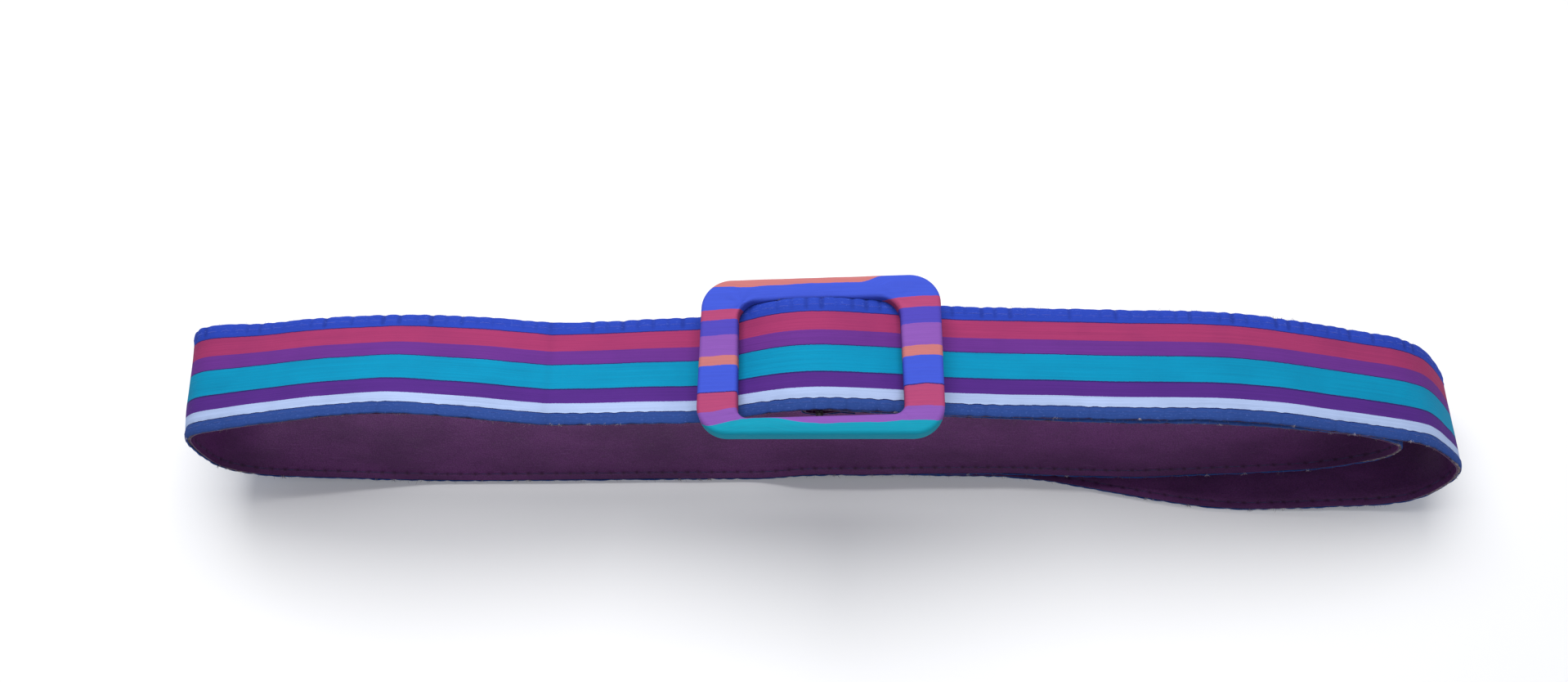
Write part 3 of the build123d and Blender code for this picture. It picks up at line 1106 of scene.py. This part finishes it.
def metal(name, colour, dark, roughness, metallic):
    """Plated or painted metal with fine scratches and dull patches."""
    nodes = Nodes(name)
    at = nodes.add("ShaderNodeTexCoord").outputs["Object"]
    patch = nodes.noise(at, 140.0, 4.0)
    scratch_at = nodes.add("ShaderNodeMapping", Vector=at, Scale=(60.0, 2600.0, 2600.0)).outputs[0]
    scratch = nodes.noise(scratch_at, 1.0, 2.0)
    base = nodes.mix(nodes.ranged(patch, 0.35, 0.7), colour, dark)
    base = nodes.mix(nodes.ranged(scratch, 0.62, 0.72, 0.0, 0.3), base, srgb(225, 225, 225))
    rough = nodes.ranged(patch, 0.3, 0.7, roughness, roughness + 0.2)
    return nodes.finish(
        Base_Color=base, Roughness=rough, Metallic=metallic,
        Normal=nodes.bump(scratch, 0.15, 0.0001),
    )


def assign(item, material):
    """Replaces an object's materials with one."""
    item.data.materials.clear()
    item.data.materials.append(material)


# ---- build the strap ----
FOLD_STITCHES = (2.9, 41.0)             # both leaves of the fold, as distances along the strap


def attach(item, material, part, finish, *nodes):
    """Dresses a piece. The lap's pieces ride on the strap's body; the tail's pieces keep their place,
    with their placing baked into their points.
    """
    assign(item, material)
    if part == "lap":
        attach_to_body(item, "strap")
    else:
        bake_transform(item)
    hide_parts(*nodes)


# Each part of the strap: its name, the start of its CAD nodes' names, and where it begins and ends.
PARTS = [
    ("lap", "strap", 0.0, split_length),
    ("tail", "tail", split_length, TOTAL_LENGTH),
]
cloth = striped_cloth()
board = fibre_board()
vinyl = vinyl_lining()
blue_thread = thread_material("blue_thread", srgb(54, 76, 188))
navy_thread = thread_material("navy_thread", srgb(44, 74, 146))
plum_thread = thread_material("plum_thread", srgb(40, 22, 58))
pale_lint = thread_material("pale_lint", srgb(172, 164, 176))

for part, prefix, first, last in PARTS:
    face = face_slab(f"{part}_striped_cloth", first, last)
    attach(face, cloth, part, "striped_fabric", f"{prefix}_face")

    core = core_slab(f"{part}_stiffener", first, last)
    attach(core, board, part, "core_fibre", f"{prefix}_core")

    lining = lining_slab(f"{part}_vinyl_lining", first, last)
    attach(lining, vinyl, part, "plum_lining", f"{prefix}_lining")

    for side, edge, colour in ((1, "far", blue_thread), (-1, "near", navy_thread)):
        thread = joined_tubes(f"{part}_{edge}_thread", edge_stitches(side, first, last, False))
        attach(thread, colour, part, "thread", f"{prefix}_{edge}_stitching")
        bobbin = joined_tubes(f"{part}_{edge}_bobbin_thread", edge_stitches(side, first, last, True))
        attach(bobbin, plum_thread, part, "thread")

    fibre_count = int((last - first) * FIBRES_PER_MM)
    fibres = edge_fibres(f"{part}_edge_fibres", first, last, fibre_count, 90)
    attach(fibres, board, part, "core_fibre")

    lint = lint_tufts(f"{part}_lint", max(first, FOLD_LENGTH), last, LINT_SPACING, 95)
    attach(lint, pale_lint, part, "core_fibre")

fold_tubes = [tube for place in FOLD_STITCHES for tube in cross_stitches(place, face_height)]
fold_thread = joined_tubes("fold_thread", fold_tubes)
attach(fold_thread, blue_thread, "lap", "thread", "fold_stitching")

end_place = TOTAL_LENGTH - STITCH_INSET
end_tubes = cross_stitches(end_place, face_height) + cross_stitches(end_place, lining_height)
end_thread = joined_tubes("tail_end_thread", end_tubes)
attach(end_thread, blue_thread, "tail", "thread", "tail_end_stitching")

# ---- build the buckle ----
cover = cover_object()
assign(cover, cover_cloth())
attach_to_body(cover, "buckle")
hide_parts("buckle_cover")

# Each metal node: name, material's name, colour, its darker patches, roughness, metallic.
METAL_NODES = [
    ("buckle_shell", "tinned_steel", srgb(170, 168, 164), srgb(120, 118, 116), 0.3, 1.0),
    ("buckle_back_plate", "painted_plate", srgb(60, 58, 66), srgb(40, 38, 46), 0.45, 0.3),
    ("centre_bar", "steel_wire", srgb(74, 70, 74), srgb(40, 36, 42), 0.50, 0.7),
]
for node_name, *look in METAL_NODES:
    assign(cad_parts[node_name], metal(*look))


# ---- floor, light and camera ----
FLOOR_REACH = 3000.0


def floor_object():
    """A wide plain floor that the strap stands on."""
    low = cad_box[0].z / MM
    corners = [
        (x * FLOOR_REACH, y * FLOOR_REACH, low) for x, y in ((-1, -1), (1, -1), (1, 1), (-1, 1))
    ]
    floor = new_object("floor", corners, [(0, 1, 2, 3)], smooth=False)
    nodes = Nodes("pale_floor")
    at = nodes.add("ShaderNodeTexCoord").outputs["Object"]
    tone = nodes.noise(at, 3.0, 4.0)
    colour = nodes.mix(tone, srgb(240, 240, 240), srgb(232, 232, 233))
    floor.data.materials.append(nodes.finish(Base_Color=colour, Roughness=0.8, Specular_IOR_Level=0.2))


def area_light(name, place, turn, size, power):
    """A soft rectangular light."""
    data = bpy.data.lights.new(name, "AREA")
    data.shape = "RECTANGLE"
    data.size, data.size_y = size
    data.energy = power
    light = bpy.data.objects.new(name, data)
    light.location = place
    light.rotation_euler = [math.radians(value) for value in turn]
    scene.collection.objects.link(light)


floor_object()
area_light("key_light", (-0.08, 0.26, 0.72), (-20, -7, 0), (0.7, 0.5), 6.6)
area_light("fill_light", (0.9, -0.9, 0.9), (45, 38, 0), (1.2, 1.2), 3.0)

world = bpy.data.worlds.new("studio")
world.use_nodes = True
background = world.node_tree.nodes["Background"]
background.inputs["Color"].default_value = (0.92, 0.94, 1.0, 1.0)
background.inputs["Strength"].default_value = 0.50
scene.world = world
scene.view_settings.view_transform = "Standard"

camera_data = bpy.data.cameras.new("camera")
camera_data.lens = 26.88
camera_data.sensor_width = 36.0
camera_data.shift_x = 0.01147
camera_data.clip_start = 0.01
camera = bpy.data.objects.new("camera", camera_data)
camera.location = (-0.024, -0.148, 0.430)
camera.rotation_euler = (math.radians(23.6), 0.0, 0.0)
scene.collection.objects.link(camera)
scene.camera = camera
